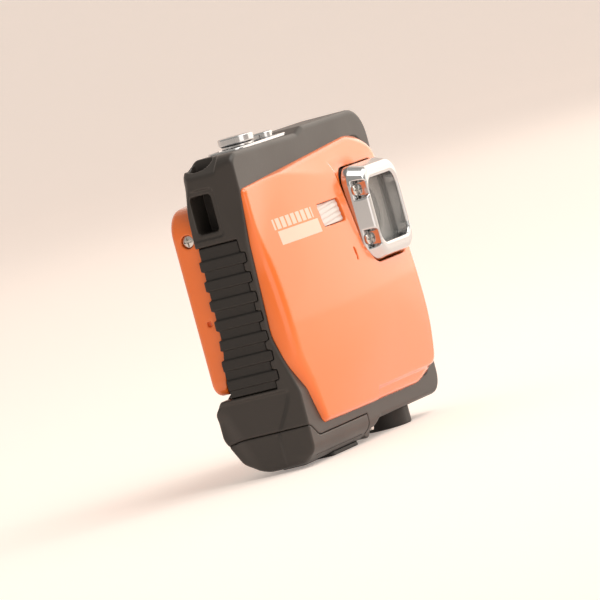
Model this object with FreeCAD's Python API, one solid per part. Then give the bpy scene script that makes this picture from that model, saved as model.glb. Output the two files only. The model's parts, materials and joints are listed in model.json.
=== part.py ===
"""Rugged compact digital camera with a lens bezel, a ribbed grip and a battery door.

Millimetres. X is the width (positive towards the lens), the lens looks along -Y and +Z is up.
Drawn from a line near the camera's middle and moved at the end, so that the origin is under the
middle of the camera, on the surface that it stands on.
"""
import FreeCAD
import Part
import math
import os

# Overall size
LEFT = -41.0
RIGHT = 35.8
HALF_DEPTH = 14.2
HEIGHT = 73.0
CASE_TOP = 70.3
HUMP_TOP = 71.0
CASE_BOTTOM = 0.4
RIGHT_BOTTOM = 4.0
WALL = 1.8
GAP = 0.15
SEAL_THICKNESS = 0.6

# Case halves: where the front flange and the rear wall lie
CASE_FRONT_Y = -5.3
FLANGE_BACK = -3.7
REAR_WALL_FRONT = 6.0
REAR_POCKET_Y = 8.5
REAR_FACE_Y = 13.6
FACE_Y = -12.2

# Lens and its bezel
LENS_X = 17.3
LENS_Z = 48.2
BEZEL_BASE = 11.1
BEZEL_RIM_X = 9.5
BEZEL_RIM_Z = 10.0
BEZEL_FOOT_Y = -8.6
BEZEL_SEAT_Y = -10.5
GLASS_Y = -11.2
WINDOW_X = 8.2
WINDOW_Z = 7.3
SCREW_X = 10.1
SCREW_Z = 5.6

# Flash
FLASH_X = -4.9
FLASH_Z = 50.9
FLASH_W = 10.9
FLASH_H = 5.0

# Battery door and its hinge
HINGE_X = -5.6
HINGE_Z = 2.9
DOOR_END_X = -8.6
DOOR_TOP = 6.1
DOOR_SIDE_TOP = 9.0
KNUCKLE_R = 2.3
PIN_R = 0.8
PIN_Y = (-6.2, 9.5)
RUN = 0.04

# Batteries
CELL_R = 5.25
CELL_LENGTH = 44.5
CELL_Z = 7.4
CELL_Y = -0.2
CELL_XS = (-31.7, -20.8)
CELL_PLAY = 0.2
TRAY_WALL = 0.7
TRAY_FLOOR = 7.6

# Controls
SHUTTER_X = -21.0
POWER_X = -6.5
TOP_CONTROL_Y = 0.6
KEY_X = -26.0
KEYS = {
    "key_play": (-31.5, 46.6, 2.2),
    "key_menu": (-20.5, 46.6, 2.2),
    "key_up": (KEY_X, 41.0, 1.9),
    "key_down": (KEY_X, 30.0, 1.9),
    "key_left": (KEY_X - 5.5, 35.5, 1.9),
    "key_right": (KEY_X + 5.5, 35.5, 1.9),
    "key_ok": (KEY_X, 35.5, 2.4),
    "key_delete": (KEY_X, 24.3, 1.9),
}
ZOOM_Z = 53.4
KEY_TOP_Y = 14.0

# Strap slot
SLOT_Y = (1.2, 6.2)
SLOT_Z = (54.5, 62.8)
SLOT_X = -33.2

# Tripod bush
BUSH_X = 17.0
BUSH_R = 4.2
THREAD_R = 2.6

# Screws of the rear cover: four from behind at (x, z), and one in each flank
CASE_SCREWS = ((-36.2, 22.4), (31.0, 22.2), (29.6, 60.9), (-14.6, 59.8), (-36.0, 56.0))
SIDE_SCREW_Y = 9.9
SIDE_SCREW_Z = 53.7
SIDE_SCREW_SEATS = ((-1, -38.0), (1, 32.4))
SCREW_SEAT_Y = REAR_FACE_Y - 1.1

# Display window
DISPLAY_X = (-12.7, 29.7)
DISPLAY_Z = (24.6, 58.0)
DISPLAY_Y = (REAR_FACE_Y - 1.3, REAR_FACE_Y - 0.2)
BORDER = 1.9

# Chrome plate on top
TOP_PLATE_Z = 69.7


def place(plane, across, up, along):
    """A point from its two coordinates in a plane and its place along the plane's normal."""
    if plane == "xz":
        return FreeCAD.Vector(across, along, up)
    if plane == "yz":
        return FreeCAD.Vector(along, across, up)
    return FreeCAD.Vector(across, up, along)


def outline(plane, corners, along):
    """Closed wire through corners (across, up, radius), each rounded by a tangent arc."""
    edges = []
    points = [FreeCAD.Vector(across, up, 0) for across, up, _ in corners]
    count = len(corners)
    starts = []
    middles = []
    ends = []
    for index, (_, _, radius) in enumerate(corners):
        here = points[index]
        back = (points[index - 1] - here).normalize()
        ahead = (points[(index + 1) % count] - here).normalize()
        half = back.getAngle(ahead) / 2
        reach = radius / math.tan(half)
        bisector = (back + ahead)
        starts.append(here + back * reach)
        ends.append(here + ahead * reach)
        if radius > 0:
            bisector.normalize()
            centre = here + bisector * (radius / math.sin(half))
            middles.append(centre - bisector * radius)
        else:
            middles.append(None)
    for index in range(count):
        following = (index + 1) % count
        first, middle, last = [
            place(plane, point.x, point.y, along) if point else None
            for point in (starts[index], middles[index], ends[index])
        ]
        if middle:
            edges.append(Part.Arc(first, middle, last).toShape())
        nearby = place(plane, starts[following].x, starts[following].y, along)
        if last.distanceToPoint(nearby) > 1e-6:
            edges.append(Part.LineSegment(last, nearby).toShape())
    return Part.Wire(edges)


def prism(plane, corners, low, high):
    """Solid of a rounded outline between two places along its plane's normal."""
    face = Part.Face(outline(plane, corners, low))
    return face.extrude(place(plane, 0, 0, high - low))


def rect(x0, x1, z0, z1, radius=0.0):
    """Corners of a rectangle with one corner radius."""
    return [(x0, z0, radius), (x1, z0, radius), (x1, z1, radius), (x0, z1, radius)]


def block(x0, x1, y0, y1, z0, z1, radius=0.0):
    """Box between six limits, its edges along Y rounded."""
    return prism("xz", rect(x0, x1, z0, z1, radius), y0, y1)


def rod(axis, across, up, radius, low, high):
    """Cylinder along x, y or z; across and up are its place in the plane across that axis."""
    plane = {"x": "yz", "y": "xz", "z": "xy"}[axis]
    base = place(plane, across, up, low)
    return Part.makeCylinder(radius, high - low, base, place(plane, 0, 0, 1))


def fuse(*shapes):
    """One solid from several that touch or overlap."""
    return shapes[0].multiFuse(list(shapes[1:])).removeSplitter()


def cut(shape, *tools):
    """A shape with every tool taken away."""
    for tool in tools:
        shape = shape.cut(tool)
    return shape


def inset(corners, amount):
    """Corners of an outline moved inwards by an amount, for outlines given anticlockwise."""
    moved = []
    count = len(corners)
    for index, (across, up, radius) in enumerate(corners):
        here = FreeCAD.Vector(across, up, 0)
        back = here - FreeCAD.Vector(corners[index - 1][0], corners[index - 1][1], 0)
        ahead = FreeCAD.Vector(corners[(index + 1) % count][0], corners[(index + 1) % count][1], 0) - here
        back.normalize()
        ahead.normalize()
        left_back = FreeCAD.Vector(-back.y, back.x, 0)
        left_ahead = FreeCAD.Vector(-ahead.y, ahead.x, 0)
        shift = (left_back + left_ahead) * (amount / (1 + left_back.dot(left_ahead)))
        moved.append((across + shift.x, up + shift.y, max(radius - amount, 0.0)))
    return moved


# Outlines, all anticlockwise: (across, up, corner radius)
CASE_FRONT_VIEW = [
    (LEFT, CASE_BOTTOM, 2.5),
    (-7.0, CASE_BOTTOM, 2.0),
    (-1.5, RIGHT_BOTTOM, 2.0),
    (RIGHT, RIGHT_BOTTOM, 4.5),
    (RIGHT, HUMP_TOP, 7.0),
    (1.0, HUMP_TOP, 1.5),
    (-2.0, CASE_TOP - 0.5, 1.5),
    (LEFT, CASE_TOP, 4.0),
]
CASE_SIDE_VIEW = [
    (-3.6, CASE_BOTTOM, 2.0),
    (5.0, CASE_BOTTOM, 2.5),
    (11.0, 3.6, 3.0),
    (HALF_DEPTH, 9.8, 2.5),
    (HALF_DEPTH, 15.5, 2.0),
    (10.9, 19.0, 3.0),
    (8.4, 30.0, 10.0),
    (8.0, 52.0, 20.0),
    (7.1, HUMP_TOP + 0.3, 2.5),
    (CASE_FRONT_Y, HUMP_TOP + 0.3, 2.0),
    (CASE_FRONT_Y, 24.0, 16.0),
    (-7.3, 10.0, 6.0),
    (-7.1, 3.6, 2.5),
]
FRONT_COVER_VIEW = [
    (-31.0, 7.8, 3.0),
    (33.0, 7.8, 5.5),
    (33.4, 66.6, 7.0),
    (-39.8, 62.0, 2.5),
    (-39.8, 24.5, 6.0),
]
FRONT_COVER_SIDE = [
    (-4.0, 5.0, 0.0),
    (-4.0, 69.0, 0.0),
    (-8.1, 69.0, 0.0),
    (FACE_Y, 36.0, 40.0),
    (FACE_Y, 26.0, 20.0),
    (-9.6, 5.0, 0.0),
]
FRONT_COVER_PLAN = [
    (-39.9, -6.6, 1.5),
    (-34.0, -9.0, 8.0),
    (0.0, FACE_Y, 60.0),
    (28.8, FACE_Y + 0.4, 7.0),
    (33.5, -8.6, 3.0),
    (33.5, -4.0, 0.0),
    (-39.9, -4.0, 0.0),
]
REAR_COVER_VIEW = [
    (-39.2, 19.2, 2.5),
    (33.6, 19.2, 4.0),
    (33.6, 64.6, 8.0),
    (-39.2, 60.5, 6.0),
]
DOOR_VIEW = [
    (LEFT - 1, -1.0, 0.0),
    (DOOR_END_X, -1.0, 0.0),
    (DOOR_END_X, DOOR_TOP, 0.0),
    (-38.9, DOOR_TOP, 0.3),
    (-39.6, DOOR_SIDE_TOP, 0.0),
    (LEFT - 1, DOOR_SIDE_TOP, 0.0),
]
TOP_PLATE_VIEW = [
    (-30.0, -3.9, 3.5),
    (-1.6, -3.9, 3.5),
    (-1.6, 5.1, 3.5),
    (-30.0, 5.1, 3.5),
]
CAVITY_VIEW = [
    (-38.7, TRAY_FLOOR, 1.0),
    (33.8, TRAY_FLOOR, 3.5),
    (33.8, 69.2, 5.5),
    (3.0, 69.2, 0.5),
    (0.0, 68.2, 0.5),
    (-31.0, 68.2, 1.0),
    (-31.0, 53.2, 1.0),
    (-38.7, 53.2, 1.0),
]


def case_solid():
    """The black case and its door as one full solid."""
    front = prism("xz", CASE_FRONT_VIEW, -HALF_DEPTH - 1, HALF_DEPTH + 1)
    side = prism("yz", CASE_SIDE_VIEW, LEFT - 1, RIGHT + 1)
    return front.common(side)


def strap_passage(grow=0.0):
    """Passage from the slot in the left side up to the opening in the top."""
    across = block(LEFT - 1, SLOT_X + grow, SLOT_Y[0] - grow, SLOT_Y[1] + grow,
                   SLOT_Z[0] - grow, SLOT_Z[1] + grow, 1.0)
    upward = prism("xy", rect(-38.2 - grow, SLOT_X + grow, SLOT_Y[0] - grow, SLOT_Y[1] + grow, 1.0),
                   SLOT_Z[0] - grow, HEIGHT)
    return fuse(across, upward)


def grip_space(grow=0.0):
    """Recess in the left side that holds the rubber grip."""
    corners = rect(-3.4 - grow, 8.0 + grow, 18.3 - grow, 51.7 + grow, 1.5)
    return prism("yz", corners, LEFT - 1, -39.8 + grow)


def body_frame():
    """Black frame: open at the front, with a rear wall, a strap lug and hinge lugs."""
    frame = case_solid()
    cavity = prism("xz", CAVITY_VIEW, FLANGE_BACK, REAR_WALL_FRONT)
    mouth = prism("xz", inset(FRONT_COVER_VIEW, WALL), -HALF_DEPTH - 1, FLANGE_BACK + 1)
    lug = block(-39.0, -31.0, CASE_FRONT_Y - 1, REAR_WALL_FRONT, 53.0, 69.0)
    rear_pocket = prism("xz", inset(REAR_COVER_VIEW, WALL), REAR_POCKET_Y, HALF_DEPTH + 1)
    door = prism("xz", inset(DOOR_VIEW, -GAP), -HALF_DEPTH - 1, HALF_DEPTH + 1)
    swing = block(DOOR_END_X - 1, HINGE_X, -HALF_DEPTH - 1, HALF_DEPTH + 1, -1.0, HINGE_Z)
    swing = swing.cut(rod("y", HINGE_X, HINGE_Z, KNUCKLE_R + 0.4, -HALF_DEPTH - 2, HALF_DEPTH + 2))
    knuckle = fuse(rod("y", HINGE_X, HINGE_Z, KNUCKLE_R + 0.3, -4.8, 6.8),
                   block(DOOR_END_X - 1, HINGE_X + 2.1, -4.8, 6.8, -1.0, HINGE_Z + 1.9))
    pin = rod("y", HINGE_X, HINGE_Z, PIN_R + RUN, PIN_Y[0] - 0.1, PIN_Y[1] + 0.1)
    cells = block(-37.2, -15.3, CELL_Y - CELL_R - 0.2, CELL_Y + CELL_R + 0.2, 4.0, 9.0)
    card = block(-13.8, -12.4, -5.5, REAR_WALL_FRONT, 4.0, 9.8)
    usb = block(-11.6, -8.9, -4.2, 4.2, 4.0, 9.0)
    plate = prism("xy", TOP_PLATE_VIEW, TOP_PLATE_Z, HEIGHT + 1)
    shutter = fuse(rod("z", SHUTTER_X, TOP_CONTROL_Y, 4.3, 69.2, HEIGHT),
                   rod("z", SHUTTER_X, TOP_CONTROL_Y, 1.56, 67.0, HEIGHT))
    power = fuse(rod("z", POWER_X, TOP_CONTROL_Y, 2.5, 69.3, HEIGHT),
                 rod("z", POWER_X, TOP_CONTROL_Y, 1.06, 67.0, HEIGHT))
    bush = rod("z", BUSH_X, 0.0, BUSH_R, 2.0, 9.0)
    flex = block(-6.0, 14.0, REAR_WALL_FRONT - 1, REAR_POCKET_Y + 1, 60.4, 61.8)
    frame = cut(frame, cavity, mouth.cut(lug), rear_pocket, door, swing, knuckle, pin)
    frame = cut(frame, cells, card, usb, plate, shutter, power, bush, flex, tray_space(0.05))
    screws = [rod("y", x, z, 0.8, REAR_POCKET_Y - 1, HALF_DEPTH) for x, z in CASE_SCREWS]
    return cut(frame, grip_space(), strap_passage(), *screws)


def front_seal():
    """Rubber ring on the frame's front face, in a groove of the cover's edge."""
    outer = prism("xz", inset(FRONT_COVER_VIEW, 0.5), -HALF_DEPTH, FLANGE_BACK)
    inner = prism("xz", inset(FRONT_COVER_VIEW, 1.3), -HALF_DEPTH - 1, FLANGE_BACK + 1)
    case = case_solid()
    skin = case.copy()
    skin.translate(FreeCAD.Vector(0, -SEAL_THICKNESS, 0))
    return outer.cut(inner).common(skin).cut(case).cut(tray_space(0.05))


def crowned_front():
    """Full front cover form: its outline, its leaning face and its rounded flanks."""
    view = prism("xz", FRONT_COVER_VIEW, -HALF_DEPTH, -4.0)
    side = prism("yz", FRONT_COVER_SIDE, LEFT, RIGHT)
    plan = prism("xy", FRONT_COVER_PLAN, 0.0, HEIGHT)
    return view.common(side).common(plan)


def front_cover():
    """Orange front shell with openings for the bezel, the flash and the microphone."""
    form = crowned_front()
    hollow = form.copy()
    hollow.translate(FreeCAD.Vector(0, WALL, 0))
    hollow = hollow.common(prism("xz", inset(FRONT_COVER_VIEW, WALL), -HALF_DEPTH, 0))
    bezel = prism("xz", bezel_rect(BEZEL_BASE, BEZEL_BASE, 4.5, 0.08), -HALF_DEPTH, 0)
    flash = prism("xz", flash_rect(0.08), -HALF_DEPTH, 0)
    slit = block(0.1, 0.7, -HALF_DEPTH, 0, 39.1, 42.1, 0.25)
    return cut(form.cut(case_solid()), hollow, bezel, flash, slit, front_seal(), tray_space(GAP))


def rear_cover():
    """Orange rear shell with openings for the display, the keys and the zoom rocker."""
    form = prism("xz", REAR_COVER_VIEW, 6.5, REAR_FACE_Y).cut(case_solid())
    hollow = prism("xz", inset(REAR_COVER_VIEW, WALL), 6.0, REAR_FACE_Y - WALL)
    display = display_block(-BORDER, 0, HALF_DEPTH, 1.0)
    rebate = display_block(0.1, DISPLAY_Y[0], HALF_DEPTH, 2.0)
    holes = [rod("y", x, z, r + GAP, 9.0, HALF_DEPTH) for x, z, r in KEYS.values()]
    zoom = block(KEY_X - 6.0, KEY_X + 6.0, 9.0, HALF_DEPTH, ZOOM_Z - 2.3, ZOOM_Z + 2.3, 2.0)
    led = rod("y", -35.2, 46.6, 0.8, 9.0, HALF_DEPTH)
    cover = cut(form, hollow, display, rebate, zoom, led, *holes)
    behind = case_solid().cut(prism("xz", inset(REAR_COVER_VIEW, WALL), REAR_POCKET_Y, HALF_DEPTH + 1))
    for x, z in CASE_SCREWS:
        boss = rod("y", x, z, 1.7, REAR_POCKET_Y, REAR_FACE_Y - 1).cut(behind)
        cover = fuse(cover, boss)
        cover = cut(cover, rod("y", x, z, 1.35, SCREW_SEAT_Y, HALF_DEPTH),
                    rod("y", x, z, 0.85, 6, HALF_DEPTH))
    for side, seat in SIDE_SCREW_SEATS:
        low, high = sorted((seat, seat + side * 4))
        cover = cover.cut(rod("x", SIDE_SCREW_Y, SIDE_SCREW_Z, 1.5, low, high))
    return cover


def display_block(grow, low_y, high_y, radius):
    """Block the size of the display window, grown on its four sides."""
    return block(DISPLAY_X[0] - grow, DISPLAY_X[1] + grow, low_y, high_y,
                 DISPLAY_Z[0] - grow, DISPLAY_Z[1] + grow, radius)


def bezel_rect(half_x, half_z, radius, grow=0.0):
    """Corners of a rounded rectangle centred on the lens."""
    return rect(LENS_X - half_x - grow, LENS_X + half_x + grow,
                LENS_Z - half_z - grow, LENS_Z + half_z + grow, radius + grow)


def flash_rect(grow=0.0):
    """Corners of the flash opening."""
    return rect(FLASH_X - FLASH_W / 2 - grow, FLASH_X + FLASH_W / 2 + grow,
                FLASH_Z - FLASH_H / 2 - grow, FLASH_Z + FLASH_H / 2 + grow, 0.6)


def screw_places():
    """Centres of the four bezel screws."""
    return [(LENS_X + sx * SCREW_X, LENS_Z + sz * SCREW_Z) for sx in (-1, 1) for sz in (-1, 1)]


def lens_bezel():
    """Chrome surround: tapered, with a deep window and four screw pockets in its flanks."""
    foot = outline("xz", bezel_rect(BEZEL_BASE, BEZEL_BASE, 4.5), BEZEL_SEAT_Y)
    rim = outline("xz", bezel_rect(BEZEL_RIM_X, BEZEL_RIM_Z, 4.0), -HALF_DEPTH)
    upper = Part.makeLoft([foot, rim], True, True)
    lower = prism("xz", bezel_rect(BEZEL_BASE, BEZEL_BASE, 4.5), BEZEL_SEAT_Y, BEZEL_FOOT_Y)
    window = prism("xz", bezel_rect(WINDOW_X, WINDOW_Z, 2.5), -HALF_DEPTH - 1, 0)
    rebate = prism("xz", bezel_rect(9.0, 8.3, 2.0), GLASS_Y, 0)
    bezel = cut(fuse(lower, upper), window, rebate)
    for x, z in screw_places():
        side = 1 if x > LENS_X else -1
        inner = LENS_X + side * 9.05
        outer = LENS_X + side * 13.0
        pocket = block(min(inner, outer), max(inner, outer), -HALF_DEPTH - 1, GLASS_Y, z - 2.0, z + 2.0, 0.8)
        bezel = cut(bezel, pocket, rod("y", x, z, 0.6, GLASS_Y - 1, 0))
    return bezel


def bezel_screws():
    """Four round-headed cross-slotted screws."""
    screws = []
    for x, z in screw_places():
        head = rod("y", x, z, 1.0, GLASS_Y - 0.8, GLASS_Y)
        shank = rod("y", x, z, 0.55, GLASS_Y, -6.0)
        slots = [block(x - a, x + a, GLASS_Y - 1, GLASS_Y - 0.45, z - b, z + b)
                 for a, b in ((0.7, 0.14), (0.14, 0.7))]
        screws.append(cut(fuse(head, shank), *slots))
    return Part.makeCompound(screws)


def window_parts():
    """Lens window, its rubber gasket and the dark mask behind it."""
    window = prism("xz", bezel_rect(8.9, 8.2, 1.9), GLASS_Y, -10.2)
    gasket = prism("xz", bezel_rect(8.9, 8.2, 1.9), -10.2, -9.7)
    gasket = gasket.cut(prism("xz", bezel_rect(7.9, 7.2, 1.5), -11, -9))
    mask = prism("xz", bezel_rect(8.9, 8.2, 1.9), -9.7, -9.0)
    mask = mask.cut(rod("y", LENS_X, LENS_Z, 6.2, -11, -8))
    return {"lens_window": window, "window_gasket": gasket, "lens_mask": mask}


def lens_parts():
    """Lens carrier, barrel, two elements, diaphragm, sensor and its board."""
    carrier = prism("xz", bezel_rect(BEZEL_BASE - 0.2, BEZEL_BASE - 0.2, 4.4), BEZEL_FOOT_Y, -3.0)
    carrier = carrier.cut(rod("y", LENS_X, LENS_Z, 7.5, -9, -2))
    for x, z in screw_places():
        carrier = carrier.cut(rod("y", x, z, 0.55, -9, -5.9))
    barrel = cut(rod("y", LENS_X, LENS_Z, 7.5, -9.0, -0.6), rod("y", LENS_X, LENS_Z, 6.2, -9.1, -5.2),
                 rod("y", LENS_X, LENS_Z, 4.4, -6, -3.0), rod("y", LENS_X, LENS_Z, 3.6, -4, 0))
    front = lens_element(6.2, -8.4, -6.4, 0.9)
    rear = lens_element(3.6, -2.6, -1.4, 0.5)
    diaphragm = cut(rod("y", LENS_X, LENS_Z, 4.4, -3.6, -3.0), rod("y", LENS_X, LENS_Z, 1.4, -4, -2))
    return {
        "lens_carrier": carrier,
        "lens_barrel": barrel,
        "front_lens": front,
        "rear_lens": rear,
        "diaphragm": diaphragm,
        "image_sensor": block(LENS_X - 3.6, LENS_X + 3.6, 0.2, 1.0, LENS_Z - 2.9, LENS_Z + 2.9),
        "sensor_board": block(LENS_X - 8, LENS_X + 8, 1.0, 1.8, LENS_Z - 7, LENS_Z + 7, 1.0),
    }


def lens_element(radius, front, back, crown):
    """Glass disc whose front face is crowned."""
    sphere_r = (radius ** 2 + crown ** 2) / (2 * crown)
    centre = FreeCAD.Vector(LENS_X, front + sphere_r, LENS_Z)
    return rod("y", LENS_X, LENS_Z, radius, front, back).common(Part.makeSphere(sphere_r, centre))


def flash_parts():
    """Flash window, reflector, tube and capacitor."""
    window = prism("xz", flash_rect(), -11.0, -8.2).common(crowned_front())
    half_w = FLASH_W / 2
    half_h = FLASH_H / 2
    reflector = block(FLASH_X - half_w, FLASH_X + half_w, -8.2, -4.4, FLASH_Z - half_h, FLASH_Z + half_h, 0.6)
    reflector = reflector.cut(block(FLASH_X - half_w + 0.6, FLASH_X + half_w - 0.6, -9, -5.0,
                                    FLASH_Z - half_h + 0.6, FLASH_Z + half_h - 0.6, 1.0))
    return {
        "flash_window": window,
        "flash_reflector": reflector,
        "flash_tube": rod("x", -5.9, FLASH_Z, 0.85, FLASH_X - half_w + 0.6, FLASH_X + half_w - 0.6),
        "flash_capacitor": rod("z", -5.5, -2.2, 4.0, 14.0, 38.0),
    }


def tray_space(grow=0.0, low=TRAY_FLOOR, high=CELL_Z + CELL_LENGTH + 1.0):
    """Block that the battery tray fills, grown sideways by an amount."""
    reach = CELL_R + CELL_PLAY + TRAY_WALL + grow
    return block(CELL_XS[0] - reach, CELL_XS[1] + reach, CELL_Y - reach, CELL_Y + reach, low, high)


def battery_parts():
    """Tray for two cells, the cells, their upper contacts and the contact on the door."""
    top = CELL_Z + CELL_LENGTH
    tray = tray_space().cut(tray_space(-TRAY_WALL, 0.0, top + 0.5))
    parts = {"battery_tray": tray}
    for name, x in zip(("cell_left", "cell_right"), CELL_XS):
        can = rod("z", x, CELL_Y, CELL_R, CELL_Z, top - 0.8)
        nub = rod("z", x, CELL_Y, 1.9, top - 0.8, top)
        parts[name] = fuse(can, nub)
    plates = [block(x - 3.5, x + 3.5, CELL_Y - 3.5, CELL_Y + 3.5, top, top + 0.5) for x in CELL_XS]
    parts["tray_contacts"] = Part.makeCompound(plates)
    bar = block(CELL_XS[0] - 3.5, CELL_XS[1] + 3.5, CELL_Y - 3.5, CELL_Y + 3.5, 5.6, 6.0)
    cones = [Part.makeCone(3.2, 1.6, 1.2, FreeCAD.Vector(x, CELL_Y, 6.0)) for x in CELL_XS]
    parts["door_contact"] = fuse(bar, *cones)
    return parts


def battery_door():
    """Hollow door with a knuckle at its right end and a recess for the latch."""
    door = case_solid().common(prism("xz", DOOR_VIEW, -HALF_DEPTH - 1, HALF_DEPTH + 1))
    hollow = block(-37.2, DOOR_END_X - 1.6, -5.4, 7.4, 2.2, DOOR_TOP + 0.1)
    web = block(DOOR_END_X - 0.5, HINGE_X, -4.5, 6.5, HINGE_Z - 1.6, HINGE_Z + 1.6)
    posts = [rod("z", x, y, 1.2, 2.0, 5.6) for x in (-26.8, -17.6) for y in (CELL_Y - 2.6, CELL_Y + 2.6)]
    door = fuse(door.cut(hollow), web, rod("y", HINGE_X, HINGE_Z, KNUCKLE_R, -4.5, 6.5), *posts)
    latch = block(-38.0, -27.4, -3.0, 3.0, 0, 1.45)
    stem = block(-35.7, -30.3, -1.1, 1.1, 0, 3.0)
    strip = prism("xy", rect(-25.1, -9.9, -4.1, 4.1, 1.1), 0, 0.9)
    return cut(door, rod("y", HINGE_X, HINGE_Z, PIN_R + RUN, -9, 11), latch, stem, strip, door_seal())


def door_seal():
    """Rubber ring in the top edge of the door."""
    outer = block(-38.0, -9.4, -6.2, 8.2, DOOR_TOP - 0.8, DOOR_TOP)
    return outer.cut(block(-37.2, DOOR_END_X - 1.6, -5.4, 7.4, 0, DOOR_TOP + 1))


def door_latch():
    """Sliding latch under the door: thumb pad, stem and retaining foot."""
    pad = block(-37.85, -30.85, -2.85, 2.85, 0.5, 1.3)
    stem = block(-35.5, -33.3, -0.9, 0.9, 1.3, 2.35)
    foot = block(-36.2, -32.6, -1.7, 1.7, 2.35, 2.9)
    grooves = [block(x, x + 0.5, -2.2, 2.2, 0.4, 0.75) for x in (-36.5, -35.4, -34.3, -33.2, -32.1)]
    return cut(fuse(pad, stem, foot), *grooves)


def foot_parts():
    """Rubber foot with the tripod bush, and the strip under the door."""
    foot = prism("xy", rect(BUSH_X - 5.6, BUSH_X + 5.6, -5.2, 5.2, 5.0), 0.0, RIGHT_BOTTOM)
    bush = cut(rod("z", BUSH_X, 0, BUSH_R, 0.6, 8.0), rod("z", BUSH_X, 0, THREAD_R, 0, 6.6))
    return {
        "foot_pad": foot.cut(rod("z", BUSH_X, 0, BUSH_R, -1, 5)),
        "tripod_bush": bush,
        "door_foot": prism("xy", rect(-25.0, -10.0, -4.0, 4.0, 1.0), 0.0, 0.9),
    }


def grip_pad():
    """Rubber grip: a thin pad with seven raised bars."""
    space = grip_space(-GAP)
    pad = space.common(block(-40.4, -39, -20, 20, 0, HEIGHT))
    pitch = 4.4
    bars = []
    for index in range(7):
        low = 19.9 + index * pitch
        bars.append(space.common(block(LEFT, -40.0, -20, 20, low, low + 2.6)))
    return fuse(pad, *bars).common(case_solid())


def helix_spring(x, y, radius, wire, low, high, turns):
    """Round-wire compression spring standing along Z."""
    pitch = (high - low - 2 * wire) / turns
    path = Part.makeHelix(pitch, pitch * turns, radius)
    ring = Part.Wire([Part.makeCircle(wire, FreeCAD.Vector(radius, 0, 0), FreeCAD.Vector(0, 1, 0))])
    spring = Part.Wire(path.Edges).makePipeShell([ring], True, True)
    spring.translate(FreeCAD.Vector(x, y, low + wire))
    return spring


def top_controls():
    """Chrome plate, shutter button and power button with their springs and switches."""
    y = TOP_CONTROL_Y
    plate = prism("xy", TOP_PLATE_VIEW, TOP_PLATE_Z, TOP_PLATE_Z + 1.2)
    plate = cut(plate, rod("z", SHUTTER_X, y, 4.15, 0, HEIGHT), rod("z", POWER_X, y, 2.45, 0, HEIGHT))
    shutter = fuse(rod("z", SHUTTER_X, y, 4.0, 70.5, HEIGHT), rod("z", SHUTTER_X, y, 1.5, 65.8, 70.5),
                   rod("z", SHUTTER_X, y, 2.4, 67.3, 68.1))
    dish = Part.makeSphere(20.0, FreeCAD.Vector(SHUTTER_X, y, HEIGHT + 19.6))
    power = fuse(rod("z", POWER_X, y, 2.3, 70.2, 71.9), rod("z", POWER_X, y, 1.0, 65.8, 70.2),
                 rod("z", POWER_X, y, 1.8, 67.3, 68.1))
    return {
        "top_plate": plate,
        "shutter_button": shutter.cut(dish),
        "shutter_spring": helix_spring(SHUTTER_X, y, 1.95, 0.18, 64.4, 67.3, 4),
        "power_button": power,
        "power_spring": helix_spring(POWER_X, y, 1.4, 0.15, 64.4, 67.3, 5),
        "switch_board": block(-25.5, -3.5, y - 3.4, y + 3.4, 63.6, 64.4),
    }


def rear_keys():
    """Rear keys, the zoom rocker, their board and the status lamp."""
    parts = {}
    for name, (x, z, r) in KEYS.items():
        parts[name] = fuse(rod("y", x, z, r, 10.0, KEY_TOP_Y), rod("y", x, z, r + 0.35, 10.4, 11.0))
    bar = block(KEY_X - 5.75, KEY_X + 5.75, 11.0, KEY_TOP_Y, ZOOM_Z - 2.05, ZOOM_Z + 2.05, 1.9)
    fulcrum = rod("z", KEY_X, 10.9, 1.0, ZOOM_Z - 1.9, ZOOM_Z + 1.9)
    parts["zoom_rocker"] = fuse(bar, fulcrum)
    parts["key_board"] = block(-36.8, -14.4, REAR_POCKET_Y, 9.2, 25.6, 54.0, 1.0)
    parts["status_led"] = rod("y", -35.2, 46.6, 0.7, 9.2, REAR_FACE_Y + 0.1)
    return parts


def electronics():
    """Boards, display, sockets, speaker and microphone."""
    board = block(-12.4, 30.5, 3.0, 4.0, 9.8, 62.0, 1.5)
    board = fuse(board.cut(block(-13, -8, 0, 6, 0, 22.5)), block(12.0, 24.0, 1.6, 3.0, 22.0, 34.0))
    return {
        "main_board": board,
        "lcd_panel": display_block(-0.3, REAR_POCKET_Y, 11.6, 0.5),
        "lcd_window": display_block(0, *DISPLAY_Y, 1.9),
        "card_socket": block(-14.2, -11.8, -5.9, 5.9, 9.8, 22.0).cut(block(-13.6, -12.6, -5.4, 7, 9, 20.5)),
        "memory_card": block(-13.5, -12.7, -5.2, 5.8, 5.2, 20.2),
        "usb_socket": block(-11.5, -9.0, -3.6, 4.0, 7.6, 12.6).cut(block(-11.0, -9.5, -3.1, 3.5, 7, 11.6)),
        "speaker": rod("y", 23.5, 15.5, 5.5, -2.6, 0.4),
        "microphone": rod("y", 0.4, 40.6, 2.0, -9.0, -7.4),
    }


def fasteners():
    """Screws of the rear cover, from behind and from the sides."""
    rear = []
    for x, z in CASE_SCREWS:
        head = rod("y", x, z, 1.25, SCREW_SEAT_Y, SCREW_SEAT_Y + 0.8)
        slots = [block(x - a, x + a, SCREW_SEAT_Y + 0.4, HALF_DEPTH, z - b, z + b)
                 for a, b in ((0.8, 0.16), (0.16, 0.8))]
        rear.append(cut(fuse(head, rod("y", x, z, 0.8, REAR_POCKET_Y - 1, SCREW_SEAT_Y)), *slots))
    sides = []
    for side, seat in SIDE_SCREW_SEATS:
        low, high = sorted((seat, seat + side * 0.9))
        sides.append(rod("x", SIDE_SCREW_Y, SIDE_SCREW_Z, 1.4, low, high))
    return {"case_screws": Part.makeCompound(rear), "side_screws": Part.makeCompound(sides)}


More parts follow.
